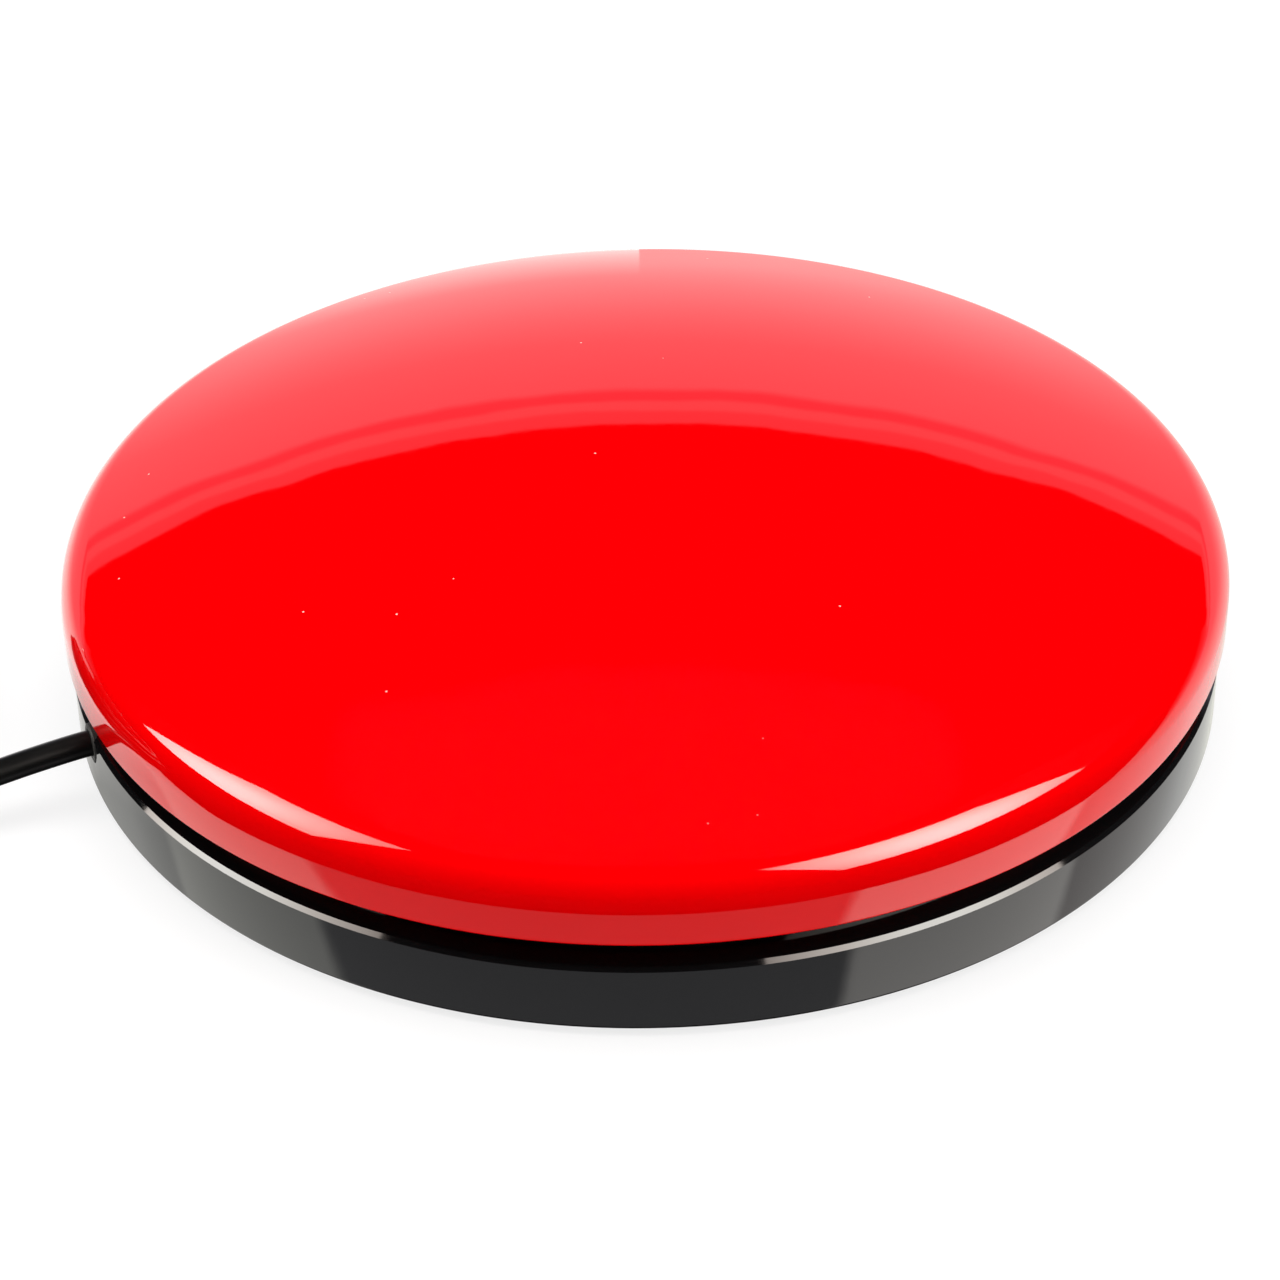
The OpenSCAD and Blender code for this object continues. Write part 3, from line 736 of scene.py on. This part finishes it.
def make_guides():
    screw_low, screw_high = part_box("guide_screws")
    z = washer_low.z
    made = screw("guide_screw", SCREW_HEAD_R, z - screw_low.z, SCREW_R, screw_high.z - z)
    turned(made, Matrix.Translation((GUIDE_R, 0, z)))
    screws = round_the_guides(made, [n + "_guide_screw" for n in GUIDE_NAMES])
    washer_r = COUNTERBORE_R - 0.3 * MM
    ring = [
        (WASHER_HOLE_R, washer_low.z), (washer_r - 0.15 * MM, washer_low.z),
        (washer_r, washer_low.z + 0.15 * MM), (washer_r, washer_high.z - 0.25 * MM),
        (washer_r - 0.1 * MM, washer_high.z), (WASHER_HOLE_R, washer_high.z),
    ]
    washer = lathe("guide_washer", ring, closed=True)
    turned(washer, Matrix.Translation((GUIDE_R, 0, 0)))
    washers = round_the_guides(washer, [n + "_guide_washer" for n in GUIDE_NAMES])
    for s in screws:
        dress(s, "zinc_screw", "cap", "guide_screws")
    for w in washers:
        dress(w, "zinc_washer", "cap", "guide_washers")


def spring_points(turns, flat_turns, steps):
    """A helix whose end turns lie flat."""
    bottom, top = spring_low.z + WIRE_R, SEAT_Z - WIRE_R
    rise = 2 * WIRE_R * flat_turns
    points = []
    for i in range(int(turns * steps) + 1):
        turn = i / steps
        if turn < flat_turns:
            z = bottom + turn * 2 * WIRE_R
        elif turn > turns - flat_turns:
            z = top - (turns - turn) * 2 * WIRE_R
        else:
            share = (turn - flat_turns) / (turns - 2 * flat_turns)
            z = bottom + rise + share * (top - bottom - 2 * rise)
        a = turn * math.tau
        r = SPRING_R - WIRE_R
        points.append((GUIDE_R + r * math.cos(a), r * math.sin(a), z))
    return points


def make_springs():
    coil = to_mesh(tube_curve("spring", spring_points(7, 1, 32), WIRE_R, 3))
    springs = round_the_guides(coil, [n + "_spring_coil" for n in GUIDE_NAMES])
    for spring, name, spot in zip(springs, GUIDE_NAMES, GUIDE_SPOTS):
        dress(spring, "spring_wire", "base", name + "_return_spring")
        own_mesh(spring)


# ---------------------------------------------------------------- lead, coil and plug
LEAD_ROUTE = [
    (-57, 0, 6.8), (-60, 0, 6.8), (-63.6, 0, 6.8), (-68, 0, 6.4), (-72, 0, 5.9), (-77, 0, 5.1),
    (-82, 0, 3.8), (-87, 0, 2.5), (-91.5, 0.02, 1.9),
]
TAIL_ROUTE = [
    (-104, 4.3, 10.7), (-108, 6.5, 11.8), (-110.9, 9.7, 13.4), (-112, 13.2, 15),
    (-111.7, 16.7, 15.6), (-110.6, 19.5, 15.6),
]
# Where the wound lead steps to its next column or layer: (turns since its start, column, layer)
COIL_STEPS = [
    (0.65, 2, 0), (1.65, 1, 0), (2.65, 0, 0),
    (3.53, 0, 1), (4.41, 1, 1), (5.41, 2, 1), (6.41, 3, 1),
    (7.29, 3, 2), (8.17, 2, 2), (9.17, 1, 2), (10.17, 0, 2),
    (11.05, 0, 3), (11.17, 1, 3), (12.05, 2, 3),
]
COIL_TURNS = 13.028
COIL_POINTS = 520
COIL_START = math.radians(269)
STEP_TURN = 0.12


def coil_route():
    """The turns of the coil, layer on layer, from the outside of the lowest to the top."""
    points = []
    for i in range(COIL_POINTS + 1):
        turn = COIL_TURNS * i / COIL_POINTS
        column, layer = 3, 0
        for at, next_column, next_layer in COIL_STEPS:
            t = min(1, max(0, (turn - at) / STEP_TURN))
            share = t * t * (3 - 2 * t)
            column += (next_column - column) * share
            layer += (next_layer - layer) * share
        r = COIL_R + (column - 1.5) * TURN_STEP
        a = COIL_START - turn * math.tau
        points.append((
            COIL_X + r * math.cos(a), COIL_Y + r * math.sin(a), TIE_T + LEAD_R + layer * 2 * LEAD_R
        ))
    return points


def route_length(points):
    return sum((Vector(b) - Vector(a)).length for a, b in zip(points, points[1:]))


def make_lead():
    start = smooth_path([Vector(p) * MM for p in LEAD_ROUTE], 4)
    end = smooth_path([Vector(p) * MM for p in TAIL_ROUTE], 5)
    route = start + [Vector(p) for p in coil_route()] + end
    lead = tube_curve("signal_lead_jacket", route, LEAD_R, 5)
    dress(lead, "lead_jacket", "base", "signal_lead", "lead_coil", "lead_tail")
    return lead, route_length(route)


def on_plug(piece, along):
    """Lays a piece made along +Z on the plug's axis, starting a distance along it."""
    turn = PLUG_DIR.to_track_quat("Z", "Y").to_matrix().to_4x4()
    return turned(piece, Matrix.Translation(PLUG_START + PLUG_DIR * along) @ turn)


def make_plug():
    boot = []
    ribs = 5
    for i in range(ribs):
        z = 0.4 * MM + i * 1.7 * MM
        r = LEAD_R + (0.5 + 0.75 * (i + 1) / ribs) * MM
        boot += [
            (r - 0.5 * MM, z), (r, z + 0.25 * MM), (r, z + 0.95 * MM), (r - 0.5 * MM, z + 1.2 * MM)
        ]
    body = (
        [(0, 0), (LEAD_R + 0.1 * MM, 0)] + boot
        + [(PLUG_BODY_R - 1.0 * MM, BOOT_L)]
        + arc(PLUG_BODY_R - 0.9 * MM, BOOT_L + 0.9 * MM, 0.9 * MM, -math.pi / 2, 0, 5)
        + arc(PLUG_BODY_R - 0.5 * MM, BOOT_L + PLUG_BODY_L - 0.5 * MM, 0.5 * MM, 0, math.pi / 2, 4)
        + [(0, BOOT_L + PLUG_BODY_L)]
    )
    moulding = lathe("plug_moulding", body, steps=72, angle=30)
    grips = []
    for side in (-1, 1):
        for i in range(6):
            z = BOOT_L + (3.4 + i * 1.8) * MM
            low = (side * PLUG_BODY_R - 0.35 * MM, -2.2 * MM, z)
            high = (side * PLUG_BODY_R + 0.35 * MM, 2.2 * MM, z + 0.7 * MM)
            grips.append(block("grip", low, high))
    cut(moulding, *grips)
    dress(on_plug(moulding, 0), "plug_black", "base", "plug_body")
    start = BOOT_L + PLUG_BODY_L
    sleeve = lathe("plug_sleeve_piece", [
        (0, -0.6 * MM), (PLUG_R + 0.5 * MM, -0.6 * MM), (PLUG_R + 0.5 * MM, 0.3 * MM),
        (PLUG_R, 0.5 * MM), (PLUG_R, SLEEVE_L - 0.1 * MM), (PLUG_R - 0.1 * MM, SLEEVE_L),
        (0, SLEEVE_L),
    ])
    dress(on_plug(sleeve, start), "plug_nickel", "base", "plug_sleeve")
    ring = lathe("plug_insulator_piece", [
        (0, 0), (PLUG_R - 0.1 * MM, 0), (PLUG_R - 0.05 * MM, 0.3 * MM),
        (PLUG_R - 0.05 * MM, INSULATOR_L - 0.3 * MM), (PLUG_R - 0.1 * MM, INSULATOR_L),
        (0, INSULATOR_L),
    ])
    dress(on_plug(ring, start + SLEEVE_L), "plug_ring", "base", "plug_insulator")
    tip = lathe("plug_tip_piece", [
        (0, 0), (PLUG_R, 0), (PLUG_R, 0.7 * MM), (PLUG_R - 0.45 * MM, 1.3 * MM),
        (PLUG_R - 0.5 * MM, 1.6 * MM), (PLUG_R - 0.2 * MM, 2.1 * MM), (PLUG_R, 2.5 * MM),
        (PLUG_R - 0.15 * MM, 3.2 * MM), (0.7 * MM, 4.3 * MM), (0.35 * MM, TIP_L), (0, TIP_L),
    ], angle=50)
    dress(on_plug(tip, start + SLEEVE_L + INSULATOR_L), "plug_nickel", "base", "plug_tip")
    return [moulding, sleeve, ring, tip]


def make_tie():
    """A hook-and-loop strap round the coil's turns."""
    r_in, r_out = COIL_R - 2 * TURN_STEP, COIL_R + 2 * TURN_STEP
    low, shoulder, top = TIE_T / 2, TIE_T + 6 * LEAD_R, TIE_T * 1.5 + 8 * LEAD_R
    outline = [
        (r_in + 0.9 * MM, low), (r_out - 0.9 * MM, low), (r_out - 0.1 * MM, low + 0.3 * MM),
        (r_out + 0.1 * MM, low + MM), (r_out + 0.1 * MM, shoulder - 0.9 * MM),
        (r_out - 0.4 * MM, shoulder + 0.1 * MM), (r_out - 1.9 * MM, top - 0.9 * MM),
        (r_out - 2.9 * MM, top - 0.1 * MM), (r_out - 4.2 * MM, top),
        (r_in + 4.2 * MM, top), (r_in + 2.9 * MM, top - 0.1 * MM),
        (r_in + 1.9 * MM, top - 0.9 * MM),
        (r_in + 0.4 * MM, shoulder + 0.1 * MM), (r_in - 0.1 * MM, shoulder - 0.9 * MM),
        (r_in - 0.1 * MM, low + MM), (r_in + 0.1 * MM, low + 0.3 * MM),
    ]
    strap = drawn(outline, closed=True)
    bpy.ops.mesh.remove_doubles(threshold=0.01 * MM)
    bpy.ops.transform.translate(value=(0, -TIE_WIDTH_MM / 2 * MM, 0))
    for _ in range(TIE_WIDTH_MM):
        bpy.ops.mesh.extrude_region_move(TRANSFORM_OT_translate={"value": (0, MM, 0)})
    bpy.ops.mesh.select_all(action="SELECT")
    bpy.ops.mesh.normals_make_consistent(inside=False)
    bpy.ops.object.mode_set(mode="OBJECT")
    strap.name = "coil_strap"
    band = strap.modifiers.new("band", "SOLIDIFY")
    band.thickness = TIE_T
    band.offset = 0
    soft = strap.modifiers.new("soft", "SUBSURF")
    soft.levels = 2
    soft.render_levels = 2
    apply_modifiers(strap)
    place = Matrix.Translation((COIL_X, COIL_Y, 0)) @ Matrix.Rotation(math.radians(60), 4, "Z")
    return turned(strap, place)


def make_inside():
    """The switch, pad, clamp and terminals keep their CAD shapes, with their edges softened."""
    widths = {
        "pusher_pad": 0.2, "cord_clamp": 0.3, "clamp_screws": 0.15, "switch_case": 0.12,
        "switch_cover": 0.12, "switch_screws": 0.12, "lever_pin": 0.05, "switch_lever": 0.06,
        "switch_plunger": 0.12, "contact_blade": 0.04, "common_terminal": 0.06,
        "normally_open_terminal": 0.06, "normally_closed_terminal": 0.06,
    }
    bodies = {n: b for b, names in frame["record"]["behaviour"]["bodies"].items() for n in names}
    for node, width in widths.items():
        piece = softened(node, width * MM)
        dress(piece, SLOT_OF[node], bodies[node], node)


WIRE_ROUTES = {
    "signal_wire": [
        (-46, 0.7, 6.8), (-42, 1.2, 6.6), (-38, 2.2, 6.2), (-33, 3, 5.8), (-28, 3, 5.8),
        (-22, 3, 5.8), (-17, 2.6, 5.8), (-14.6, 1.2, 6), (-13.2, 0.4, 6),
    ],
    "return_wire": [
        (-46, -0.7, 6.8), (-41, -1, 6.6), (-36, -1.1, 6.2), (-30, -0.6, 6), (-25.5, 0, 6),
        (-21.9, 0, 6),
    ],
}


def make_wires():
    for node, points in WIRE_ROUTES.items():
        path = smooth_path([Vector(p) * MM for p in points], 4)
        wire = to_mesh(tube_curve(node + "_core", path, CORE_R, 3))
        dress(wire, SLOT_OF[node], "base", node)


def make_grommet():
    """A turned rubber bush with a softened lip, lying along the lead."""
    hole = LEAD_R + 0.05 * MM
    body = 2.15 * MM
    lip = 0.3 * MM
    length = grommet_high.x - grommet_low.x
    flange = length - 1.2 * MM
    profile = (
        [(hole, 0.1 * MM), (hole + 0.15 * MM, 0)]
        + arc(body - lip, lip, lip, -math.pi / 2, 0, 4)
        + [(body, flange), (3.2 * MM, flange), (3.4 * MM, flange + 0.2 * MM)]
        + [(3.4 * MM, length - 0.2 * MM), (3.2 * MM, length), (hole, length)]
    )
    bush = lathe("lead_grommet", profile, closed=True)
    turned(bush, Matrix.Translation((grommet_low.x, 0, LEAD_Z)) @ LIE_ALONG_X)
    dress(bush, "soft_black", "base", "cord_grommet")


# ---------------------------------------------------------------- stage
WALL_R = 1.5
WALL_TOP = 0.9
SOFTBOX_DISTANCE = 1.4
# Brings a softbox inside the wall, smaller and nearer, with the same outline and light
NEARER = 0.86


def only_for_gloss(card):
    """Hides a glowing stage piece from all but mirror-like reflections."""
    card.visible_camera = False
    card.visible_diffuse = False
    card.visible_transmission = False
    card.visible_volume_scatter = False
    card.visible_shadow = False


def studio_wall():
    """A round wall of light: bright paper behind that falls away to the sides, and a dim front."""
    look = Look("studio_wall", (0, 0, 0), 1.0, specular_ior_level=0.0, emission_strength=2.5)
    facing = look.node("ShaderNodeMapping", {}, {0: look.place, 2: (0, 0, -FRONT)})
    around = look.node("ShaderNodeTexGradient", {"gradient_type": "RADIAL"}, {0: facing}, "Fac")
    around = around + (look.noise(5, 2) - 0.5) * 0.008
    height = look.node("ShaderNodeSeparateXYZ", {}, {0: look.place}, "Z")
    behind = look.node("ShaderNodeMath", {"operation": "ABSOLUTE"}, {0: around - 0.5}) * 2

    # Sine of the paper's upper edge, halved and centred on a half, from the front round to the back
    edge = look.node("ShaderNodeValToRGB", {"stops": [
        (0.0, grey(0.228)), (0.5, grey(0.228)), (0.556, grey(0.34)), (0.611, grey(0.44)),
        (0.667, grey(0.52)), (0.722, grey(0.63)), (0.761, grey(0.675)), (0.803, grey(0.706)),
        (0.85, grey(0.723)), (0.872, grey(0.738)), (0.944, grey(0.757)), (1.0, grey(0.761)),
    ]}, {0: behind})
    wobble = (look.noise(9, 2) - 0.5) * 0.02
    depth = (edge * 2 - 1) * WALL_R - height + wobble
    sharpness = look.range(behind, 0.68, 0.8, 3, 120) + look.range(behind, 0.5, 0.58, 25, 0)
    lit = look.range(depth * sharpness, -0.5, 0.5) * look.range(height, -1.3, -1.15)
    paper = look.node("ShaderNodeValToRGB", {"stops": [
        (0.0, (0.14, 0.14, 0.17)), (0.034, (0.14, 0.14, 0.17)), (0.043, (0.22, 0.22, 0.25)),
        (0.063, (0.22, 0.22, 0.25)), (0.074, (0.12, 0.12, 0.16)), (0.094, (0.12, 0.12, 0.16)),
        (0.112, (0.27, 0.27, 0.31)), (0.28, (0.26, 0.26, 0.29)), (0.48, (0.33, 0.33, 0.35)),
        (0.75, grey(0.39)), (1.0, grey(0.42)),
    ]}, {0: depth * 0.8})
    ring = look.node("ShaderNodeValToRGB", {"stops": [
        (0.0, grey(0.2)), (0.09, (0.22, 0.22, 0.21)), (0.15, (0.38, 0.38, 0.365)),
        (0.192, (0.4, 0.4, 0.385)), (0.198, (0.58, 0.58, 0.545)),
        (0.31, (0.56, 0.56, 0.53)), (0.318, (0.17, 0.17, 0.175)), (0.607, (0.18, 0.18, 0.185)),
        (0.614, (0.8, 0.78, 0.75)), (0.75, (0.76, 0.74, 0.71)), (0.758, (0.38, 0.36, 0.35)),
        (0.87, (0.45, 0.45, 0.44)), (0.95, (0.36, 0.36, 0.33)), (1.0, grey(0.2)),
    ]}, {0: around})
    low = look.range(height, -0.1, -0.45)
    glow = look.mix(low, paper, ring)
    left = look.range(around, 0.26, 0.2)
    bright = look.range(height, -0.9, -0.75) * look.range(height, 0.0, -0.3) * left
    glow = look.mix(bright, glow, (0.68, 0.66, 0.64))
    look.set("Emission Color", look.mix(lit, (0, 0, 0), glow))

    deselect()
    bpy.ops.mesh.primitive_uv_sphere_add(
        segments=96, ring_count=64, radius=WALL_R, location=(0, 0, 0)
    )
    wall = bpy.context.object
    bpy.ops.object.mode_set(mode="EDIT")
    bpy.ops.mesh.bisect(
        plane_co=(0, 0, WALL_TOP), plane_no=(0, 0, 1),
        use_fill=False, clear_outer=True, clear_inner=False,
    )
    bpy.ops.object.mode_set(mode="OBJECT")
    wall.name = "studio_wall"
    wall.data.materials.append(look.material)
    only_for_gloss(wall)


def softbox(name, azimuth, elevation, width, height, outer, hot, strength):
    """A softbox above the object that faces it.

    Its outer corners, the low and the high one, lie at a share of its half width and of its half
    height, and hot is its bright spot.
    """
    look = Look(name, (0, 0, 0), 1.0, specular_ior_level=0.0, emission_strength=strength)
    from_hot = look.node("ShaderNodeMapping", {}, {0: look.place, 1: (-hot[0], -hot[1], 0)})
    near_hot = look.node(
        "ShaderNodeTexGradient", {"gradient_type": "SPHERICAL"}, {0: from_hot}, "Fac"
    )
    look.set("Emission Color", look.node("ShaderNodeValToRGB", {"stops": [
        (0.0, (0.26, 0.22, 0.2)), (0.3, (0.38, 0.33, 0.3)), (0.58, (0.68, 0.62, 0.57)),
        (0.8, (0.93, 0.9, 0.84)), (1.0, (1.0, 0.98, 0.94)),
    ]}, {0: near_hot}))
    out = raised(azimuth, elevation)
    deselect()
    bpy.ops.mesh.primitive_plane_add(size=2, location=(0, 0, 0))
    box = bpy.context.object
    box.name = name
    outer_side = -1 if azimuth > 0 else 1
    for corner in box.data.vertices:
        wide, high = outer[corner.co.y > 0] if corner.co.x * outer_side > 0 else (1, 1)
        corner.co = (corner.co.x * width * wide, corner.co.y * height * high, 0)
    box.matrix_world = (
        Matrix.Translation(out * SOFTBOX_DISTANCE * NEARER)
        @ (-out).to_track_quat("Z", "Y").to_matrix().to_4x4() @ Matrix.Scale(NEARER, 4)
    )
    box.data.materials.append(look.material)
    only_for_gloss(box)


def soft_light(name, azimuth, elevation, distance, size, energy):
    """A soft light on colours alone: the softboxes and the wall give the reflections."""
    place = raised(azimuth, elevation) * distance
    aim = (-place).to_track_quat("-Z", "Y").to_matrix().to_4x4()
    deselect()
    bpy.ops.object.light_add(type="AREA", location=place)
    light = bpy.context.object
    light.name = name
    light.data.shape = "SQUARE"
    light.data.size = size
    light.data.energy = energy
    light.matrix_world = Matrix.Translation(place) @ aim
    light.visible_glossy = False


def make_stage():
    deselect()
    bpy.ops.mesh.primitive_plane_add(size=12, location=(0, 0, 0))
    floor = bpy.context.object
    floor.name = "pale_floor"
    paint = Look(
        "pale_floor", grey(0.14), 0.7, emission_color=(1, 1, 1, 1), emission_strength=0.8
    )
    paint.set("Roughness", paint.range(paint.noise(3), 0.3, 0.7, 0.65, 0.75))
    floor.data.materials.append(paint.material)
    floor.visible_glossy = False

    studio_wall()
    softbox("left_softbox", -81, 35, 0.51, 0.41, ((1.1, 0.94), (0.57, 1)), (0.11, -0.14), 16)
    softbox("right_softbox", 56, 36.5, 0.57, 0.41, ((1.27, 0.94), (0.64, 1)), (-0.03, -0.05), 17)
    soft_light("top_light", 180, 84, 3.0, 2.4, 132)
    soft_light("left_light", -95, 40, 1.5, 1.1, 9)
    soft_light("right_light", 82, 40, 1.5, 1.1, 13)

    world = bpy.data.worlds.new("studio")
    world.use_nodes = True
    world.node_tree.nodes["Background"].inputs["Strength"].default_value = 0.0
    bpy.context.scene.world = world
    bpy.context.scene.view_settings.view_transform = "Standard"


# ---------------------------------------------------------------- the object
add_camera()
lead, lead_length = make_lead()
plug_pieces = make_plug()
strap = make_tie()
dress(strap, "hook_tie", "base", "coil_tie")
plug_pieces + [strap]
make_cap()
make_base()
make_feet()
make_guides()
make_springs()
make_inside()
make_wires()
make_grommet()
make_stage()
deselect()
